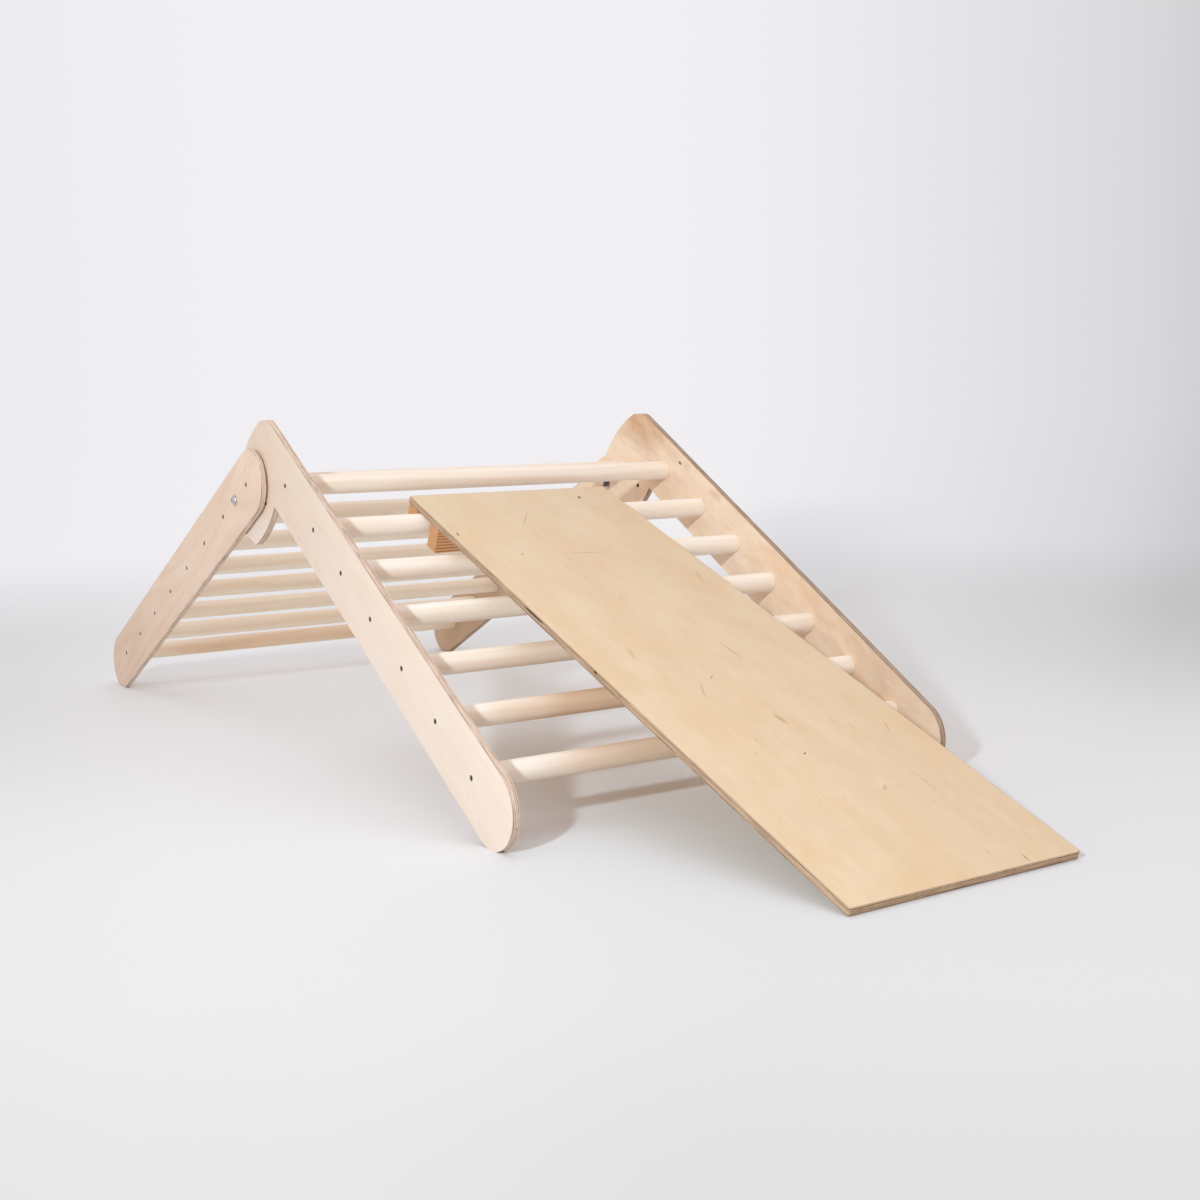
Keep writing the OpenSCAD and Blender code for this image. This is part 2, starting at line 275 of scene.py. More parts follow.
def plywood_face(name, pale, dark, slope, at, flame, patches, mottle=0.2, blush=0.3, gloss=0.42,
                 flame_from=None, drift=(), marks=(), across="Z"):
    """The face of a panel whose grain runs up a slope. flame, patches, mottle, blush: how strong the
    contours, the large and small patches and the warm tint are. flame_from: where along the grain the
    contours start and are full. drift: (start, end, amount), how the tone changes along the grain, and
    perhaps two more, where it sets in across the grain. marks: (along, across, length, width, strength,
    turn) in metres and degrees. across: the axis over the panel's width."""
    material, tree = new_finish(name)
    here = laid_along(tree, slope, at)
    x, y, z = parts_of(tree, here)
    depth = noise(tree, here, (5.0, 1.1, 5.0), detail=1.5, distortion=0.5)
    rings = ((depth * FINE_RINGS).sin() * 0.5 + 0.5).ease(0.15, 1.0)
    wide = ((depth * BROAD_RINGS).sin() * 0.5 + 0.5).ease(0.0, 1.0)
    figure = rings * (0.34 * flame) + wide * (0.26 * flame)
    if flame_from:
        figure = figure * (y.ease(*flame_from) * 0.8 + 0.2)
    fibres = noise(tree, here, (420.0, 14.0, 420.0), detail=3.0, roughness=0.65)
    patch = noise(tree, here, (11.0, 5.0, 11.0), detail=3.0, roughness=0.55)
    small = noise(tree, here, (44.0, 19.0, 44.0), detail=2.0, roughness=0.6, distortion=0.6)
    rosy = noise(tree, here, (17.0, 8.0, 23.0), detail=2.0, distortion=0.8).ease(0.40, 0.66)
    milky = noise(tree, here, (6.0, 4.0, 7.0), detail=2.0).ease(0.52, 0.72)
    fleck = noise(tree, here, (260.0, 42.0, 260.0), detail=1.0).ease(0.735, 0.80)
    tone = figure + (fibres - 0.5) * 0.34 + (patch - 0.5) * patches + (small - 0.5) * mottle + 0.18
    width_way = {"X": x, "Z": z}[across]
    for start, end, amount, *band in drift:
        step = y.ease(start, end) * amount
        tone = tone + (step * width_way.ease(*band) if band else step)
    tone = tone.at_least(0.0).at_most(1.4)
    colour = blend(tree, tone.at_most(1.0), pale, dark)
    warmer = blend(tree, 1.0, colour, (0.99, 0.90, 0.80), how="MULTIPLY")
    colour = blend(tree, rosy * blush, colour, warmer)
    colour = blend(tree, milky * blush * 0.5, colour, pale)
    colour = blend(tree, fleck * 0.34, colour, [v * 0.45 for v in dark])
    ragged = noise(tree, here, (300.0, 300.0, 300.0)) * 0.7
    for place, off_centre, length, width, strength, turn in marks:
        u, v = y - place, width_way - off_centre
        c, s = math.cos(math.radians(turn)), math.sin(math.radians(turn))
        run, off = (u * c + v * s) / length, (v * c - u * s) / width
        reach = run * run + off * off + ragged
        spot = KNOT if strength > KNOT_FROM else STAIN
        colour = blend(tree, reach.ease(2.0, 0.4) * strength, colour, spot)
    rough = (fibres - 0.5) * 0.18 + (rings * 0.05) + gloss
    height = fibres * 0.7 + rings * 0.3 - fleck * 0.8
    surface(tree, colour, rough, height, 0.09 * MM, IOR=1.45)
    return material


# %% [markdown]
# ## Birch plywood, edges
#
# The cut edge shows the nine veneers of a 12 mm panel. Their grain runs by turns along and across the
# panel, so every other veneer shows end grain and looks darker, and a thin dark glue line parts them.
# Distance through the panel is most of the pattern, so the same formula serves the long edges and the
# round ends. How dark each end-grain veneer is comes and goes along the edge: a noise field is read at a
# place that holds the veneer's own number. A few open gaps, where an inner veneer had a knot hole, are
# the marks of a workshop grade.

# %% Plywood edge
PLIES = 9
VOID = rgb(62, 42, 24)


def plywood_edge(name, pale, dark, slope, face_at, through, thickness, voids=()):
    """The layered edge of a panel. face_at: a point on one face. through: the axis of the laid_along
    coordinates that crosses the panel. voids: (along, from the face, length, height) in metres of open
    gaps in the edge on the left."""
    material, tree = new_finish(name)
    here = laid_along(tree, slope, face_at)
    x, y, z = parts_of(tree, here)
    from_face, side = (x, z) if through == "X" else (z, x)
    sway = noise(tree, here, (30.0, 30.0, 30.0), detail=2.0) - 0.5
    depth = from_face / (thickness / PLIES) + sway * 0.3
    ply = depth.fraction()
    end_ply = (depth * 0.5).fraction().ease(0.47, 0.53)
    outer = (depth - PLIES / 2).absolute().ease(1.6, 2.6)
    own = tree.add("ShaderNodeCombineXYZ", {"X": (depth - ply) * 7.3, "Y": y * 16.0, "Z": side * 16.0})
    comes = noise(tree, own, (1.0, 1.0, 1.0), detail=1.0).ease(0.34, 0.62)
    glue = (ply - 0.5).absolute().ease(0.38, 0.49)
    end_grain = noise(tree, here, (700.0, 700.0, 700.0), detail=2.0, roughness=0.7)
    streak = noise(tree, here, (120.0, 22.0, 120.0), detail=3.0, roughness=0.6)
    tone = end_ply * (comes * 0.55 + outer * 0.35 + (end_grain - 0.5) * 0.5) + (streak - 0.5) * 0.5 + 0.12
    colour = blend(tree, tone.at_least(0.0).at_most(1.0), pale, dark)
    colour = blend(tree, glue * 0.5, colour, [v * 0.4 for v in dark])
    gaps = noise(tree, here, (190.0, 26.0, 190.0), detail=1.0).ease(0.68, 0.72) * end_ply
    colour = blend(tree, gaps * 0.85, colour, VOID)
    for place, deep, length, tall in voids:
        run, off = (y - place) / (length / 2), (from_face - deep) / (tall / 2)
        hollow = (run * run + off * off).ease(1.5, 0.6) * side.ease(0.01, -0.01)
        colour = blend(tree, hollow * 0.95, colour, VOID)
    height = end_grain * 0.5 + ply.ease(0.0, 0.2) * 0.3 - gaps * 2.0 - glue * 0.4
    surface(tree, colour, 0.62 + (end_grain - 0.5) * 0.2, height, 0.12 * MM, IOR=1.45)
    return material


# %% [markdown]
# ## Dowels
#
# A dowel is turned from a straight-grained strip. Seen as a solid, its year rings are cylinders round
# the heart of a far larger log, so they cross the dowel as nearly flat sheets and draw long narrow
# arches on its round side. The pattern needs a place inside each dowel's own blank, and not in the
# whole object: the Geometry Nodes tree that makes the dowels stores it on the mesh as `blank`, and a
# random number per dowel as `pick`, which shifts the pattern and tints the wood. The lowest rungs are
# reddish towards their middles, partly heartwood and partly painted shade where the ramp and the other
# rungs shade them, and `heart` on the points says how much.

# %% Dowel wood
RINGS_A_METRE = 70.0  # year rings of the log that the dowels were turned from
HEARTWOOD_AND_SHADE_TINT = (0.84, 0.66, 0.52)


def dowel_wood(name, pale, dark, contrast):
    """A dowel's finish. contrast: how much the late wood of each ring stands out."""
    material, tree = new_finish(name)
    blank = tree.add("ShaderNodeAttribute", output="Vector", attribute_name="blank")
    pick = tree.add("ShaderNodeAttribute", output="Fac", attribute_name="pick")
    heart = tree.add("ShaderNodeAttribute", output="Fac", attribute_name="heart")
    x, y, z = parts_of(tree, blank)
    shifted = tree.add("ShaderNodeCombineXYZ", {"X": z + pick * 37.0, "Y": x, "Z": y})
    bend = noise(tree, shifted, (1.3, 3.0, 3.0), detail=1.0)
    lean = (pick * 91.0).sin()
    across = x * lean + y * (1.0 - lean * lean * 0.6) + (bend - 0.5) * 0.05
    rings = (across * (RINGS_A_METRE * 2 * math.pi) + pick * 50.0).sin() * 0.5 + 0.5
    late = rings.ease(0.45, 1.0)
    fibres = noise(tree, shifted, (9.0, 380.0, 380.0), detail=3.0, roughness=0.65)
    patch = noise(tree, shifted, (4.0, 25.0, 25.0), detail=2.0)
    pores = noise(tree, shifted, (60.0, 900.0, 900.0), detail=1.0).ease(0.66, 0.76)
    tone = late * (0.55 * contrast) + (fibres - 0.5) * 0.45 + (patch - 0.5) * 0.5
    tone = tone + (pick - 0.5) * 0.22 + 0.2
    colour = blend(tree, tone.at_least(0.0).at_most(1.0), pale, dark)
    colour = blend(tree, pores * 0.16, colour, [v * 0.5 for v in dark])
    # Reddish middles: partly heartwood, partly painted shade where the ramp and other rungs shade a rung.
    reddish = (z + (patch - 0.5) * 0.16).ease(-0.33, -0.19) * z.ease(0.30, 0.22) * heart
    colour = blend(tree, reddish, colour, blend(tree, 1.0, colour, HEARTWOOD_AND_SHADE_TINT, how="MULTIPLY"))
    height = fibres * 0.8 + late * 0.25 - pores * 0.6
    surface(tree, colour, 0.44 + (fibres - 0.5) * 0.16, height, 0.05 * MM, IOR=1.45)
    return material


# %% [markdown]
# ## Pine battens
#
# The two battens under the ramp are sawn pine, much redder than the birch, with hard dark late wood.
# Their rings are drawn as true cylinders round a heart line just outside the batten, so the end grain
# shows arcs and the long sides show the same rings as straight lines.

# %% Pine
RING_GAP = 4.8 * MM  # from one year ring to the next


def pine_wood(name, pale, dark, slope, heart):
    """A sawn batten's finish. heart: a point on the heart line of its log, which runs along X."""
    material, tree = new_finish(name)
    here = laid_along(tree, slope, heart)
    warp = noise(tree, here, (2.2, 14.0, 14.0), detail=1.0) - 0.5
    y, z = parts_of(tree, here)[1:]
    radius = ((y + warp * 0.008).math("POWER", 2.0) + (z + warp * 0.006).math("POWER", 2.0)).math("SQRT")
    ring = (radius / RING_GAP).fraction()
    late = ring.ease(0.30, 0.86) * ring.ease(1.0, 0.93)
    fibres = noise(tree, here, (12.0, 500.0, 500.0), detail=3.0, roughness=0.65)
    patch = noise(tree, here, (8.0, 40.0, 40.0), detail=2.0)
    tone = late * 0.80 + (fibres - 0.5) * 0.35 + (patch - 0.5) * 0.3 + 0.02
    colour = blend(tree, tone.at_least(0.0).at_most(1.0), pale, dark)
    surface(tree, colour, 0.55 + (fibres - 0.5) * 0.2, fibres * 0.5 + late, 0.12 * MM, IOR=1.45)
    return material


# %% [markdown]
# ## Steel
#
# Zinc-plated fasteners are never quite even: the plating is a little cloudy and carries fine scratches.
# Both go into the roughness, where metal shows them best, and the clouds dull the colour a little too.

# %% Steel
DULLED = 0.72  # how bright the cloudiest plating is


def plated_steel(name, colour, gloss):
    """Zinc-plated steel. gloss: the lowest roughness of the clean plating."""
    material, tree = new_finish(name)
    here = laid_along(tree)
    cloud = noise(tree, here, (260.0, 260.0, 260.0), detail=3.0)
    scratch = noise(tree, here, (2400.0, 300.0, 2400.0), detail=2.0)
    shade = blend(tree, cloud, colour, [v * DULLED for v in colour])
    rough = cloud * 0.22 + (scratch - 0.5) * 0.16 + gloss
    surface(tree, shade, rough.at_least(0.12), scratch, 0.01 * MM, Metallic=1.0)
    return material


# %% [markdown]
# ## Rounded plates
#
# The plywood edges are eased with a round-over cutter, which catches light along every outline. The
# packed panel has sharp edges and a mesh of loose triangles, so a copy is merged, its flat triangles
# are dissolved, and only the outline's edges are bevelled: the screw holes keep their sharp rims. The
# outline is the longest closed loop of edges between a flat side and the wall round it, one on each
# side; every shorter loop is the rim of a bore.

# %% Rounded plates
WELD = 2e-6  # corners nearer than this are one
SLIVER = 1e-6  # an edge shorter than this goes
NEARLY_FLAT = math.radians(0.4)  # faces that meet at less than this are one
FLAT_FROM = 0.999  # cosine to the plate's own direction, above which a face is one of its flat sides


def plate_mesh(node, facing, radius, segments=4):
    """A bmesh of a plate, its outer outline rounded on both flat sides, and the middles of its bores."""
    source = nodes[node].data
    solid = bmesh.new()
    places = [solid.verts.new(v.co) for v in source.vertices]
    for polygon in source.polygons:
        corners = [places[i] for i in polygon.vertices]
        if len(set(corners)) == len(corners):
            solid.faces.new(corners)
    bmesh.ops.remove_doubles(solid, verts=solid.verts, dist=WELD)
    bmesh.ops.dissolve_degenerate(solid, edges=solid.edges, dist=SLIVER)
    bmesh.ops.dissolve_limit(solid, angle_limit=NEARLY_FLAT, verts=solid.verts, edges=solid.edges)
    solid.normal_update()

    def is_flat(face):
        return abs(face.normal.dot(facing)) > FLAT_FROM

    whole = [e for e in solid.edges if len(e.link_faces) == 2]
    rim = [e for e in whole if sum(is_flat(f) for f in e.link_faces) == 1]
    outline = []
    loops = sorted(edge_loops(rim), key=lambda loop: -sum(e.calc_length() for e in loop))
    for loop in loops[:2]:
        outline.extend(loop)
    bores = [sum((v.co for e in loop for v in e.verts), Vector()) / (2 * len(loop)) for loop in loops[2:]]
    bmesh.ops.bevel(solid, geom=outline, offset=radius, offset_type="OFFSET", segments=segments,
                    profile=0.5, affect="EDGES", clamp_overlap=True)
    solid.normal_update()
    return solid, bores


def edge_loops(edges):
    """Splits edges into groups that hang together. A set has another order in each run of Blender, so
    lists and a dictionary's keys hold them here, and every run gives the same mesh."""
    left, found = dict.fromkeys(edges), []
    while left:
        group, front = [], [left.popitem()[0]]
        while front:
            edge = front.pop()
            group.append(edge)
            for vert in edge.verts:
                for other in vert.link_edges:
                    if other in left:
                        del left[other]
                        front.append(other)
        found.append(group)
    return found


# %% [markdown]
# A rounded plate then becomes a piece: it rides on the plate's body and stands in for the imported solid,
# which is hidden. A piece has one material per kind of surface, and each face is told by its normal and
# its distance from the bores.

# %% Plates as pieces
BORE_REACH = 13 * MM  # a face nearer than this to the middle of a bore's rim is the bore's wall
PLATE_CREASE = math.radians(40)


def as_piece(plate, name, materials, facing, body, node):
    """Turns a plate into a piece that stands for its node. Materials: flat sides, edges, bores."""
    solid, bores = plate
    mesh = bpy.data.meshes.new(name)
    solid.to_mesh(mesh)
    solid.free()
    for material in materials:
        mesh.materials.append(material)
    for polygon in mesh.polygons:
        flat = abs(polygon.normal.dot(facing)) > FLAT_FROM
        bored = any((polygon.center - bore).length < BORE_REACH for bore in bores)
        polygon.material_index = min(0 if flat else 2 if bored else 1, len(materials) - 1)
        polygon.use_smooth = not flat
    mesh.set_sharp_from_angle(angle=PLATE_CREASE)
    piece = bpy.data.objects.new(name, mesh)
    bpy.context.collection.objects.link(piece)
    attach(piece, body)
    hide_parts(node)
    print(name, len(mesh.polygons), "faces")


# %% [markdown]
# ## The four side panels
#
# The left panels are the palest, and the inner side of the right front one is the warmest. Each panel
# has its own face finish, whose grain runs up its ladder, and its own edge finish, whose veneers are
# counted from the panel's left face. The walls of the bores get a darker edge finish of their own.

# %% Side panels
ACROSS = Vector((1.0, 0.0, 0.0))
PANEL_ROUND = 2.8 * MM
panel_inner, panel_outer = (corner.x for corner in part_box("front_panel_right"))
print("front panels", round((panel_outer - panel_inner) / MM, 2), "mm thick")
# The right panels' edges take a darker copy of the same plywood edge colours: painted shade, as less light
# falls on them.
EDGE_COLOURS_RIGHT_SHADED = {"left": (rgb(240, 216, 197), rgb(150, 118, 96)),
                "right": (rgb(200, 174, 152), rgb(108, 82, 64))}
panel_looks = {
    "front_panel_left": dict(
        pale=rgb(236, 221, 208), dark=rgb(216, 191, 165), flame=0.16, patches=0.35,
        # drift: painted shade, the face darker towards the head, where less light falls than at the foot
        drift=[(-0.45, 0.15, 0.35, -0.14, -0.05)]),
    "front_panel_right": dict(
        pale=rgb(246, 223, 198), dark=rgb(210, 172, 136), flame=0.42, flame_from=(-0.12, 0.10),
        patches=0.95, mottle=0.75, blush=0.75,
        # drift: darker towards the foot and at the head, lighter beside the head: partly the veneer's own
        # tone, partly painted shade
        drift=[(-0.3, -0.75, 0.2), (0.01, 0.08, 0.46, -0.04, 0.04), (-0.02, 0.06, -0.4, 0.0, -0.05)],
        marks=[(-0.038, 0.040, 0.005, 0.0028, 0.95, 0), (-0.162, 0.046, 0.02, 0.008, 0.22, 0)]),
    "rear_panel_left": dict(
        pale=rgb(236, 212, 191), dark=rgb(206, 177, 151), flame=0.35, patches=0.5,
        drift=[(-0.3, -0.8, 0.3)]),
    "rear_panel_right": dict(
        # Painted light: this colour is paler than the rear left panel's to light the ear at the head, and
        # the drift darkens the foot back
        pale=rgb(250, 228, 200), dark=rgb(206, 176, 144), flame=0.1, patches=0.2,
        drift=[(-0.1, -0.6, 1.0)]),
}
bored = plywood_edge("bored_edge", rgb(92, 66, 48), rgb(52, 36, 26), 0.0, (panel_inner, 0.0, 0.0),
                     "X", panel_outer - panel_inner)
for panel_name, look in panel_looks.items():
    is_front = panel_name.startswith("front")
    low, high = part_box(panel_name)
    slope = front_slope if is_front else rear_slope
    start = front_rungs[0] if is_front else rear_rungs[-1]
    side = 1.0 if middle(panel_name).x > 0 else -1.0
    grain_at = (side * panel_outer, start.y, start.z)
    face = plywood_face(f"{panel_name}_face", slope=slope, at=grain_at, **look)
    left_face = (low.x, start.y, start.z)
    edge_pale, edge_dark = EDGE_COLOURS_RIGHT_SHADED["right" if side > 0 else "left"]
    edge = plywood_edge(f"{panel_name}_edge", edge_pale, edge_dark, slope, left_face, "X", high.x - low.x)
    plate = plate_mesh(panel_name, ACROSS, PANEL_ROUND)
    as_piece(plate, f"plywood_{panel_name}", [face, edge, bored], ACROSS,
             "front_ladder" if is_front else "rear_ladder", panel_name)

# %% [markdown]
# ## Ramp
#
# The ramp is the same kind of plate, lying on the slope: its faces look along the slope's normal, and
# its veneers are counted along it. Its edges are eased less than the panels' are.

# %% Ramp
RAMP_UP = Vector((0.0, -math.sin(ramp_slope), math.cos(ramp_slope)))
RAMP_ALONG = Vector((0.0, math.cos(ramp_slope), math.sin(ramp_slope)))
ramp_points = [v.co for v in nodes["ramp_board"].data.vertices]
ramp_under = min(p.dot(RAMP_UP) for p in ramp_points)
ramp_t = max(p.dot(RAMP_UP) for p in ramp_points) - ramp_under
ramp_low = min(p.dot(RAMP_ALONG) for p in ramp_points)
ramp_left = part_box("ramp_board")[0].x
ramp_origin = RAMP_UP * ramp_under + RAMP_ALONG * ramp_low
RAMP_ROUND = 1.2 * MM
print("ramp", round(ramp_t / MM, 2), "mm thick")
RAMP_MARKS = [  # small knots, open ticks and old scratches: along, across, length, width, strength, turn
    (0.389, 0.198, 0.014, 0.0040, 0.45, -8), (0.302, 0.173, 0.004, 0.0013, 0.85, 60),
    (0.606, 0.083, 0.018, 0.0042, 0.24, 12), (0.583, 0.251, 0.030, 0.0014, 0.51, -5),
    (0.489, 0.131, 0.022, 0.0010, 0.53, 25), (0.939, 0.211, 0.034, 0.0012, 0.51, 96),
    (0.950, 0.087, 0.006, 0.0028, 0.51, 40), (1.039, 0.013, 0.006, 0.0016, 0.90, 8),
    (1.157, 0.321, 0.0055, 0.0028, 0.95, 30), (0.333, 0.351, 0.015, 0.0020, 0.31, 25),
    (0.822, 0.358, 0.020, 0.0030, 0.26, 20), (0.200, 0.302, 0.034, 0.0010, 0.44, 0),
    (1.083, 0.167, 0.026, 0.0015, 0.48, 35), (0.013, 0.309, 0.008, 0.0016, 0.75, 0),
    (0.200, 0.231, 0.008, 0.0030, 0.37, 45), (0.517, 0.167, 0.006, 0.0016, 0.68, 45)]
ramp_face = plywood_face("ramp_face", rgb(231, 208, 174), rgb(208, 175, 135), ramp_slope,
                         (ramp_left, ramp_origin.y, ramp_origin.z), flame=0.05, patches=0.5,
                         mottle=0.32, blush=0.55, gloss=0.4, marks=RAMP_MARKS, across="X")
ramp_edge = plywood_edge("ramp_edge", rgb(208, 178, 146), rgb(114, 86, 64), ramp_slope,
                         tuple(ramp_origin), "Z", ramp_t,
                         voids=[(0.755, 0.0084, 0.056, 0.0036), (0.573, 0.0090, 0.008, 0.0042)])
as_piece(plate_mesh("ramp_board", RAMP_UP, RAMP_ROUND), "plywood_ramp", [ramp_face, ramp_edge], RAMP_UP,
         "ramp", "ramp_board")

# %% [markdown]
# ## Battens
#
# The battens hold the ramp to its rung, one on each side. They are plain sawn bars, so the same rounding
# goes round the outline of their flat sides, in fewer steps.

# %% Battens
BATTEN_ROUND = 1.0 * MM
HEART_BELOW, HEART_ALONG = 60 * MM, 18 * MM  # from a batten's middle to the heart of its log
for which in ("upper", "lower"):
    node = f"ramp_batten_{which}"
    heart = middle(node) + RAMP_UP * -HEART_BELOW + RAMP_ALONG * HEART_ALONG
    pine = pine_wood(f"pine_{which}", rgb(229, 177, 126), rgb(156, 92, 52), ramp_slope, tuple(heart))
    bar = plate_mesh(node, RAMP_UP, BATTEN_ROUND, segments=2)
    as_piece(bar, f"pine_batten_{which}", [pine], RAMP_UP, "ramp", node)

# %% [markdown]
# ## Dowels and screws with Geometry Nodes
#
# Fifteen dowels and more than thirty screws repeat, so one tree puts copies of a blank on a cloud of
# points. The points carry a direction, `out`, that the copies turn to. The tree stores what the dowel
# finish reads, realises the copies, since instances are lost on export, and sets their material.

# %% Placing tree
def placing_tree(name):
    """Geometry in: points with a direction `out`. Inputs: the blank to copy, its material, a seed."""
    group = bpy.data.node_groups.new(name, "GeometryNodeTree")
    sockets = [("Points", "NodeSocketGeometry"), ("Blank", "NodeSocketObject"),
               ("Finish", "NodeSocketMaterial"), ("Seed", "NodeSocketInt")]
    for label, kind in sockets:
        group.interface.new_socket(label, in_out="INPUT", socket_type=kind)
    group.interface.new_socket("Pieces", in_out="OUTPUT", socket_type="NodeSocketGeometry")
    tree = Tree(group)
    given = tree.add("NodeGroupInput")
    blank = tree.add("GeometryNodeObjectInfo", {"Object": given.out("Blank")}, output="Geometry")
    place = tree.add("GeometryNodeInputPosition")
    marked = tree.add("GeometryNodeStoreNamedAttribute",
                      {"Geometry": blank, "Name": "blank", "Value": place},
                      data_type="FLOAT_VECTOR", domain="POINT")
    out = tree.add("GeometryNodeInputNamedAttribute", {"Name": "out"}, data_type="FLOAT_VECTOR")
    turned = tree.add("FunctionNodeAlignRotationToVector", {"Vector": out}, axis="Z")
    copies = tree.add("GeometryNodeInstanceOnPoints",
                      {"Points": given.out("Points"), "Instance": marked, "Rotation": turned})
    pick = tree.add("FunctionNodeRandomValue", {"Seed": given.out("Seed")}, output=1, data_type="FLOAT")
    picked = tree.add("GeometryNodeStoreNamedAttribute",
                      {"Geometry": copies, "Name": "pick", "Value": pick},
                      data_type="FLOAT", domain="INSTANCE")
    real = tree.add("GeometryNodeRealizeInstances", {"Geometry": picked})
    done = tree.add("GeometryNodeSetMaterial", {"Geometry": real, "Material": given.out("Finish")})
    tree.add("NodeGroupOutput", {"Pieces": done})
    return group


place_blanks = placing_tree("place_blanks")
print("place_blanks", len(place_blanks.nodes), "nodes")

# %% [markdown]
# The tree runs as a modifier on a mesh of points. Each input is set by its identifier before the object
# is first evaluated. The evaluated result becomes one plain mesh for each body, and the holder goes.

# %% Placed copies
TURNED_CREASE = math.radians(35)


def placed(name, points, blank, finish, seed, body, replaced, heartwood_and_shade=()):
    """Copies of a blank at points, each a (place, direction) pair, as one plain mesh on one body.
    heartwood_and_shade: how reddish the middles of the first few copies are, partly heartwood and partly
    painted shade."""
    cloud = bpy.data.meshes.new(f"{name}_points")
    cloud.from_pydata([place for place, out in points], [], [])
    direction = cloud.attributes.new("out", "FLOAT_VECTOR", "POINT")
    direction.data.foreach_set("vector", [v for place, out in points for v in out])
    heart = cloud.attributes.new("heart", "FLOAT", "POINT")
    heart.data.foreach_set("value", [*heartwood_and_shade, *[0.0] * (len(points) - len(heartwood_and_shade))])
    holder = bpy.data.objects.new(f"{name}_holder", cloud)
    bpy.context.collection.objects.link(holder)
    modifier = holder.modifiers.new("place", "NODES")
    modifier.node_group = place_blanks
    values = {"Blank": blank, "Finish": finish, "Seed": seed}
    for item in place_blanks.interface.items_tree:
        if item.name in values:
            modifier[item.identifier] = values[item.name]
    depsgraph = bpy.context.evaluated_depsgraph_get()
    mesh = bpy.data.meshes.new_from_object(holder.evaluated_get(depsgraph))
    bpy.data.objects.remove(holder)
    mesh.name = name
    piece = bpy.data.objects.new(name, mesh)
    bpy.context.collection.objects.link(piece)
    mesh.set_sharp_from_angle(angle=TURNED_CREASE)
    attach(piece, body)
    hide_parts(*replaced)
    print(name, len(points), "copies,", len(mesh.polygons), "faces")


# %% [markdown]
# A blank is turned as on a lathe: rings of corners at rising heights, joined by quads and closed at both
# ends. A ring's radius may also be a function of the angle, which turns a hexagon as easily as a circle.

# %% Turned blanks
def lathe(name, rings, sides):
    """A turned blank along Z. rings: (radius, height), radius a number or a function of the angle."""
    shape = bmesh.new()
    rows = []
    for radius, height in rings:
        row = []
        for i in range(sides):
            a = 2 * math.pi * i / sides
            r = radius(a) if callable(radius) else radius
            row.append(shape.verts.new((r * math.cos(a), r * math.sin(a), height)))
        rows.append(row)
    for one, two in zip(rows, rows[1:]):
        for i in range(sides):
            j = (i + 1) % sides
            shape.faces.new((one[i], one[j], two[j], two[i]))
    shape.faces.new(list(reversed(rows[0])))
    shape.faces.new(rows[-1])
    bmesh.ops.recalc_face_normals(shape, faces=shape.faces)
    mesh = bpy.data.meshes.new(name)
    shape.to_mesh(mesh)
    shape.free()
    for polygon in mesh.polygons:
        polygon.use_smooth = len(polygon.vertices) == 4
    blank = bpy.data.objects.new(name, mesh)
    bpy.context.collection.objects.link(blank)
    print(name, len(mesh.polygons), "faces")
    return blank


# %% [markdown]
# The dowel blank is turned along Z with ends eased by little more than half a millimetre, which leaves the
# thin shadow line where a rung meets its panel. Front and rear dowels are the same wood. The front finish
# is the paler in its light tones, and the rear one is painted paler in its dark tones, as painted light
# for the rear rungs that the front ladder and the ramp shade. Their order is the rungs' own, from the top
# down at the front and from the floor up at the rear.

# %% Dowels
front_dowel = dowel_wood("front_dowel_wood", rgb(254, 246, 235), rgb(238, 212, 183), contrast=0.4)
# Painted light: in its dark tones the rear finish is paler than the front one, for rungs that the front
# ladder and the ramp shade.
rear_dowel = dowel_wood("rear_dowel_wood", rgb(255, 245, 228), rgb(243, 218, 186), contrast=0.5)
EASE = 0.6 * MM
DOWEL_SIDES = 72


def dowel_blank(name, node):
    """A dowel as long as a node, round Z, with its ends eased."""
    half = (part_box(node)[1].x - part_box(node)[0].x) / 2
    steps = [-half, -half + EASE, half - EASE, half]
    radii = [rung_r - EASE, rung_r, rung_r, rung_r - EASE]
    return lathe(name, list(zip(radii, steps)), DOWEL_SIDES)


# Reddish middles are partly heartwood and partly painted shade, strongest on the rungs under the ramp.
FRONT_HEARTWOOD_AND_SHADE = [0.0, 0.0, 0.15, 0.0, 0.2, 0.95, 0.66]  # how reddish the middle of each rung is
REAR_HEARTWOOD_AND_SHADE = [0.6, 0.15]  # of the lowest two; the others have none
FRONT_SEED, REAR_SEED = 7, 13
front_blank = dowel_blank("front_blank", "front_rung_1")
rear_blank = dowel_blank("rear_blank", "rear_rung_1")
head_middle = middle("head_rung")
placed("dowels_front", [(p, ACROSS) for p in [*front_rungs, head_middle]], front_blank, front_dowel,
       FRONT_SEED, "front_ladder", [*(f"front_rung_{i}" for i in RUNGS), "head_rung"],
       FRONT_HEARTWOOD_AND_SHADE)
placed("dowels_rear", [(p, ACROSS) for p in rear_rungs], rear_blank, rear_dowel, REAR_SEED,
       "rear_ladder", [f"rear_rung_{i}" for i in RUNGS], REAR_HEARTWOOD_AND_SHADE)

# %% [markdown]
# The screws are turned too: a flat head with a hexagon socket, a cone below it and a shank. The socket
# is a ring whose radius follows a hexagon, so it needs no boolean cut.

# %% Screw blanks
screw_steel = plated_steel("screw_steel_finish", rgb(128, 119, 110), gloss=0.34)
HEAD_R, SHANK_R, SOCKET_R = 4.2 * MM, 2.0 * MM, 1.7 * MM
POINT_LONG, CONE_DEEP, RIM_DEEP, SOCKET_DEEP = 3 * MM, 2.6 * MM, 0.5 * MM, 1.8 * MM
SCREW_SIDES = 24


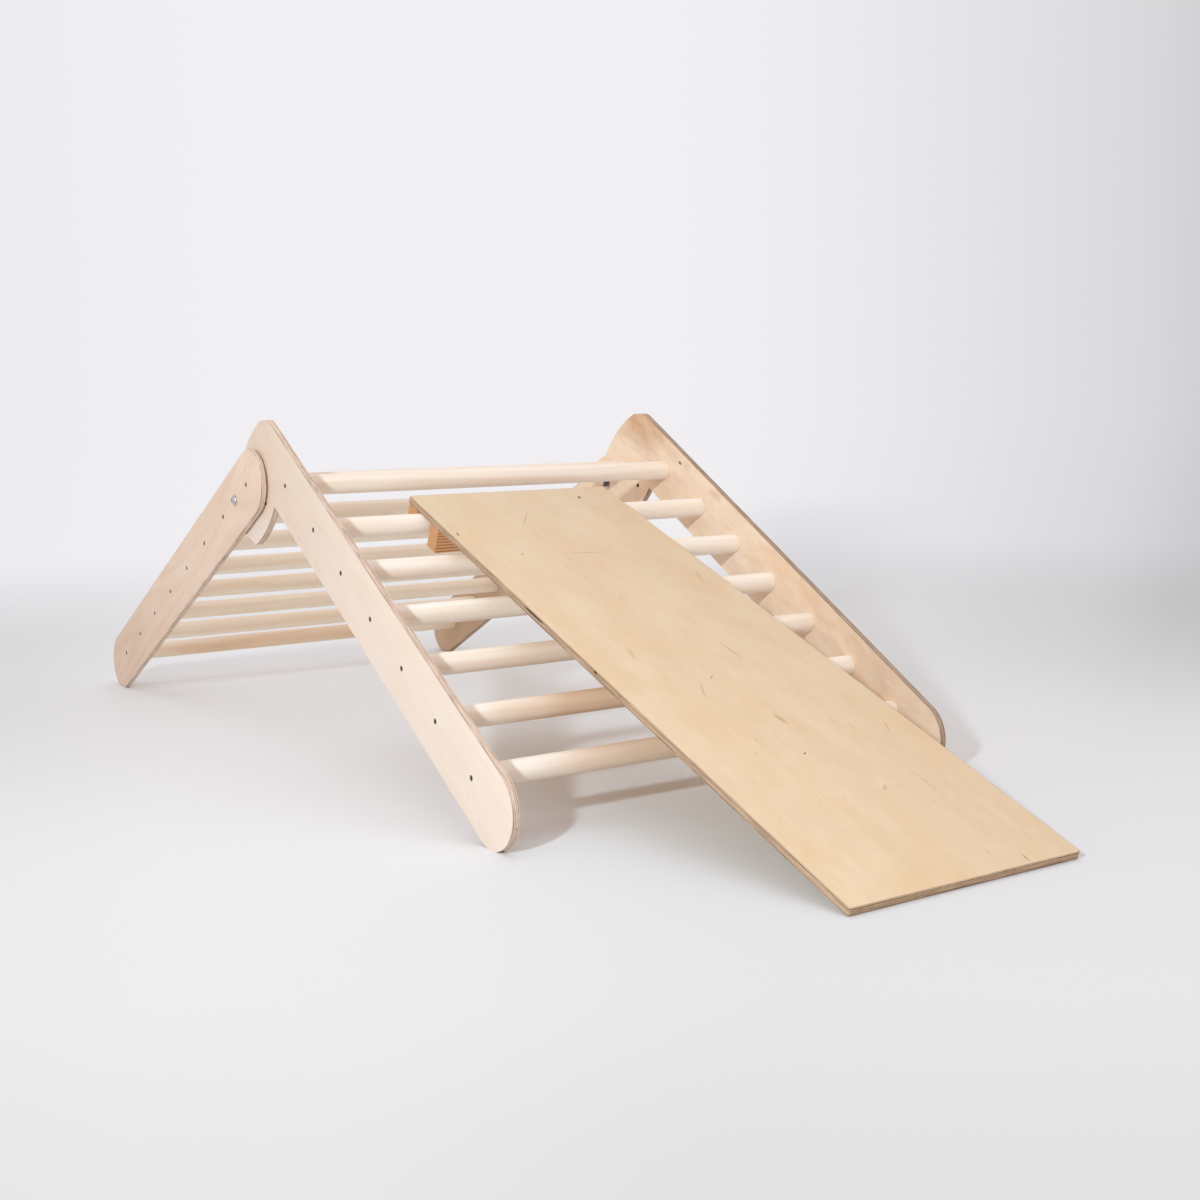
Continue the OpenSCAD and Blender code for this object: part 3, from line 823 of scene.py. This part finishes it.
def hexagon(apothem):
    """A function that gives the radius of a hexagon at an angle. apothem: from its middle to a flat."""
    sector = math.pi / 3
    return lambda a: apothem / math.cos((a % sector) - sector / 2)


def screw_blank(name, length):
    """A screw with the top of its head at zero and its point below."""
    shank = [(SHANK_R * 0.3, -length), (SHANK_R, -length + POINT_LONG), (SHANK_R, -CONE_DEEP)]
    head = [(HEAD_R, -RIM_DEEP), (HEAD_R - 0.1 * MM, -0.1 * MM), (HEAD_R - 0.5 * MM, 0.0)]
    socket = [(hexagon(SOCKET_R + 0.15 * MM), 0.0), (hexagon(SOCKET_R), -0.2 * MM),
              (hexagon(SOCKET_R), -SOCKET_DEEP)]
    return lathe(name, shank + head + socket, SCREW_SIDES)


long_screw = screw_blank("long_screw", 50 * MM)
lock_screw = screw_blank("lock_screw", 12 * MM)
ramp_screw = screw_blank("ramp_screw", 28 * MM)

# %% [markdown]
# A side screw stands at its rung's centre, just under the panel's outer face. The screws under the ramp
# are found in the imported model: its solids are parted, and each one's middle is taken down to its head.

# %% Where the screws stand
SCREW_SUNK = 0.15 * MM


def side_points(centres, node):
    """Where screws stand on the outer sides of the panels: the panel's face, at each rung's centre."""
    found = []
    for side, word in ((-1.0, "left"), (1.0, "right")):
        low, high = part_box(f"{node}_{word}")
        face_x = max(abs(low.x), abs(high.x)) - SCREW_SUNK
        found += [((side * face_x, p.y, p.z), ACROSS * side) for p in centres]
    return found


def screw_centres(node):
    """The centre of each solid of a group of screws, in the plane of its head."""
    solid = bmesh.new()
    solid.from_mesh(nodes[node].data)
    bmesh.ops.remove_doubles(solid, verts=solid.verts, dist=WELD)
    groups = [dict.fromkeys(v for e in group for v in e.verts) for group in edge_loops(solid.edges)]
    centres = [sum((v.co for v in group), Vector()) / len(group) for group in groups]
    lowest = [min(v.co.dot(RAMP_UP) for v in group) for group in groups]
    solid.free()
    return [c + RAMP_UP * (low - c.dot(RAMP_UP)) for c, low in zip(centres, lowest)]


screw_groups = [
    ("screws_front", side_points([*front_rungs, head_middle], "front_panel"), long_screw,
     "front_ladder", ["front_screws_left", "front_screws_right", "head_screws"]),
    ("screws_rear", side_points(rear_rungs, "rear_panel"), long_screw,
     "rear_ladder", ["rear_screws_left", "rear_screws_right"]),
    ("screws_lock", side_points([head_middle], "rear_panel"), lock_screw,
     "rear_ladder", ["lock_screws"]),
    ("screws_ramp", [(c, -RAMP_UP) for c in screw_centres("ramp_screws")], ramp_screw,
     "ramp", ["ramp_screws"]),
]
for seed, (group, places, blank, body, replaced) in enumerate(screw_groups, start=1):
    placed(group, places, blank, screw_steel, seed, body, replaced)
for blank in (front_blank, rear_blank, long_screw, lock_screw, ramp_screw):
    bpy.data.objects.remove(blank)

# %% [markdown]
# The bolts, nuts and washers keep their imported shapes, which are round and exact, and take a finish.

# %% Bolts, nuts and washers
bolt_steel = plated_steel("bolt_steel_finish", rgb(216, 212, 206), gloss=0.2)
nut_steel = plated_steel("nut_steel_finish", rgb(130, 120, 116), gloss=0.26)
for node, fastener in nodes.items():
    if "washer" in node or "pivot" in node:
        fastener.data.materials[0] = nut_steel if "nut" in node else bolt_steel

# %% [markdown]
# ## Light
#
# Two lights do it all. The room is a world that is warm and even, with a cool white ceiling that shines
# nearly straight down. The key is one lamp on the left, in front, at about an adult's height, and cool as
# well: it draws the rungs' shadows down the inside of the right panel, and since it stands near, the
# panels are brighter towards it. It is taller than it is wide, so upright edges draw sharper shadows
# than the rungs do. A white surface that gets both shows about white, so colours come out as written.

# %% Key light
KEY_AT = Vector((-3.0, -2.34, 1.70))
KEY_AIM = Vector((0.0, -0.2, 0.3))
KEY_LEVEL = 0.52  # what the lamp adds to a white surface that faces it at KEY_AIM
KEY_TINT = (0.85, 1.02, 1.12)
KEY_WIDE, KEY_TALL = 0.16, 0.26
key_axis = (KEY_AIM - KEY_AT).normalized()
key_reach = (KEY_AIM - KEY_AT).length_squared
key_data = bpy.data.lights.new("key", "AREA")
key_data.shape = "RECTANGLE"
key_data.size, key_data.size_y = KEY_WIDE, KEY_TALL
key_data.energy = math.pi ** 2 * KEY_LEVEL * key_reach
key_data.color = KEY_TINT
key = bpy.data.objects.new("key", key_data)
key.matrix_world = Matrix.Translation(KEY_AT) @ key_axis.to_track_quat("-Z", "Y").to_matrix().to_4x4()
bpy.context.collection.objects.link(key)
print("key lamp", round(key_data.energy), "W")

# %% [markdown]
# ## Floor
#
# The studio's paper floor is one wide disc, and it keeps the object's shadow. A lamp this near would
# leave a bright pool on it, which a real lamp with a flag doesn't. So the paper's colour is worked out the
# other way round: the level that the floor should show, divided by the light that falls on it.
#
# Places on the floor are told by how far ahead of the object they are, along the view, and by their
# bearing, which is the tangent of the angle to the right of the view.

# %% Floor and wall tones
AHEAD = Vector((math.sin(CAMERA_YAW), math.cos(CAMERA_YAW), 0.0))
RIGHT = Vector((math.cos(CAMERA_YAW), -math.sin(CAMERA_YAW), 0.0))
BLACK = (0.0, 0.0, 0.0)
WALL = rgb(241, 239, 242)
PAPER = rgb(239, 237, 239)
WHITEST = 0.985  # the palest that paper can be
STAND_BACK = 2.8  # how far before the origin the bearings start
ROOM_LOW, ROOM_TINT = 0.49, (1.28, 0.97, 0.81)
CEILING, CEILING_TINT = 1.10, (0.76, 1.03, 1.25)
UPRIGHT = 6.0  # how closely the ceiling's light keeps to straight down


def along(tree, vector, direction):
    """How far a place lies in a direction."""
    sockets = {0: vector, 1: direction}
    return tree.add("ShaderNodeVectorMath", sockets, output="Value", operation="DOT_PRODUCT")


def falls_off(bearing):
    """How much of the wall's light is lost at a bearing: the tangent of the angle right of the view."""
    right = bearing.ease(0.02, 0.56) * 0.31 + bearing.ease(0.34, 0.42) * 0.06
    return right * bearing.ease(3.0, 0.42) + bearing.ease(-0.2, -0.5) * 0.06


def seen_directly(tree):
    """1 for what the camera sees itself, in a mirror or through glass; 0 for the light on surfaces."""
    path = tree.add("ShaderNodeLightPath", output="Is Camera Ray")
    return (path + path.out("Is Glossy Ray") + path.out("Is Transmission Ray")).at_most(1.0)


# %% [markdown]
# The light on the floor is simple enough to write down: the lamp's falls with the square of its distance
# and with the angles at both ends, the low room's is even, and the ceiling's is a power of the cosine.
# Far from the lamp no paper is white enough, and there the soft darker band behind the object appears
# by itself. The limit is set by the blue part, the weakest, for all three, so the band stays grey.

# %% Evened paper
def evened(tree, here, shade):
    """The paper's colour that shows as PAPER, less `shade`, under the key lamp and the room."""
    x, y = parts_of(tree, here)[:2]
    off = (x - KEY_AT.x).math("POWER", 2.0) + (y - KEY_AT.y).math("POWER", 2.0) + KEY_AT.z ** 2
    facing = (along(tree, here, key_axis) - KEY_AT.dot(key_axis)) / off
    lamp = facing / off * (KEY_LEVEL * key_reach * KEY_AT.z)
    from_above = CEILING * 2 / (UPRIGHT + 2)
    lights = [lamp * key_part + (ROOM_LOW * low_part + from_above * high_part)
              for key_part, low_part, high_part in zip(KEY_TINT, ROOM_TINT, CEILING_TINT)]
    names = ("Red", "Green", "Blue")
    reachable = (lights[2] * (WHITEST / PAPER[2])).at_most(1.0) * (1.0 - shade)
    sockets = {name: reachable * wanted / light for name, wanted, light in zip(names, PAPER, lights)}
    return tree.add("ShaderNodeCombineColor", sockets)


# %% [markdown]
# What is left is painted shade on the floor: a darker band behind the object, stronger on the right, and a
# soft painted shadow of the right panel where a studio floor would begin to rise; this floor stays flat.
# All of them are smooth steps of the two measures, ahead and bearing.

# %% Floor shades
SWEEP_SHADE = 0.115  # how much darker the painted shadow behind the right panel is at its darkest


def floor_shade(ahead, bearing):
    """How much darker than PAPER the floor is painted: a band of painted shade behind the object, and the
    right side.
    """
    far_left = bearing.ease(-0.18, -0.36)
    band_left = ahead.ease(-1.1, 0.6) * ahead.ease(3.4, 0.3) * (far_left * 0.07 + 0.07) + far_left * 0.02
    band_right = (ahead.ease(-1.6, -0.4) * 0.35 + 0.65) * ahead.ease(2.0, 0.2) * 0.08
    to_right = bearing.ease(-0.1, 0.25)
    band = band_left + (band_right - band_left) * to_right
    return band + falls_off(bearing) * ahead.ease(-0.9, 2.2) + ahead.ease(-1.25, -1.75) * 0.05


def sweep_shadow(ahead, bearing):
    """A painted soft shadow of the right panel, where a studio floor would begin to rise."""
    over_bearings = bearing.ease(0.09, 0.135) * bearing.ease(0.26, 0.14)
    return over_bearings * ahead.ease(1.0, 2.6) * ahead.ease(9.0, 4.0) * SWEEP_SHADE


# %% [markdown]
# The floor itself is one very wide disc. Beyond the object it goes over into the wall's own colour, as a
# light of its own that only the camera sees, so that floor and wall meet with no line.

# %% Paper disc
FLOOR_R = 110.0
FLOOR_SIDES = 96
WALL_FROM, WALL_FULL = 1.8, 5.0  # how far from the object the floor starts to be, and is, the wall


def paper_disc(name, radius):
    """A round floor with the evened paper's finish, on the stage and not in the object."""
    shape = bmesh.new()
    bmesh.ops.create_circle(shape, cap_ends=True, radius=radius, segments=FLOOR_SIDES)
    mesh = bpy.data.meshes.new(name)
    shape.to_mesh(mesh)
    shape.free()
    material, tree = new_finish(f"{name}_paper")
    here = tree.add("ShaderNodeTexCoord", output="Object")
    ahead = along(tree, here, AHEAD)
    bearing = along(tree, here, RIGHT) / (ahead + STAND_BACK).at_least(0.3)
    cloud = noise(tree, here, (0.9, 0.9, 0.9), detail=2.0) - 0.5
    soft = sweep_shadow(ahead, bearing)
    # Painted shade on the paper: the band behind the object, the right side and the right panel's painted
    # shadow.
    shade = floor_shade(ahead, bearing) + soft + cloud * 0.02
    paper = tree.add("ShaderNodeBsdfDiffuse", {"Color": evened(tree, here, shade)})
    # The wall is painted darker to the right and carries the same painted shadow.
    wall_colour = blend(tree, falls_off(bearing) + soft, WALL, BLACK)
    wall = tree.add("ShaderNodeEmission", {"Color": wall_colour})
    far = (ahead.math("POWER", 2.0) + along(tree, here, RIGHT).math("POWER", 2.0)).math("SQRT")
    amount = seen_directly(tree) * far.ease(WALL_FROM, WALL_FULL)
    both = tree.add("ShaderNodeMixShader", {0: amount, 1: paper, 2: wall})
    tree.add("ShaderNodeOutputMaterial", {"Surface": both})
    mesh.materials.append(material)
    floor = bpy.data.objects.new(name, mesh)
    bpy.context.collection.objects.link(floor)
    print(name, "of paper,", radius, "m to its rim")


paper_disc("floor", FLOOR_R)

# %% [markdown]
# The room itself lights surfaces only. The camera and the steel see something else in its place: a plain
# pale wall that falls off to the right. A Light Path node keeps the two apart.

# %% Room light
world = bpy.data.worlds.new("room")
bpy.context.scene.world = world
world.use_nodes = True
world.node_tree.nodes.clear()
room = Tree(world.node_tree)
look = room.add("ShaderNodeTexCoord", output="Generated")
upwards = along(room, look, (0.0, 0.0, 1.0)).at_least(0.0)
low_glow = room.add("ShaderNodeBackground", {"Color": (*ROOM_TINT, 1.0), "Strength": ROOM_LOW})
from_ceiling = upwards.math("POWER", UPRIGHT) * CEILING
high_glow = room.add("ShaderNodeBackground", {"Color": (*CEILING_TINT, 1.0), "Strength": from_ceiling})
glow = room.add("ShaderNodeAddShader", {0: low_glow, 1: high_glow})
bearing = along(room, look, RIGHT) / along(room, look, AHEAD).at_least(0.05)
dimmed = blend(room, falls_off(bearing), WALL, BLACK)
backdrop = room.add("ShaderNodeBackground", {"Color": dimmed, "Strength": 1.0})
both = room.add("ShaderNodeMixShader", {0: seen_directly(room), 1: glow, 2: backdrop})
room.add("ShaderNodeOutputWorld", {"Surface": both})
print("room", ROOM_LOW, "all round,", CEILING, "more from above")
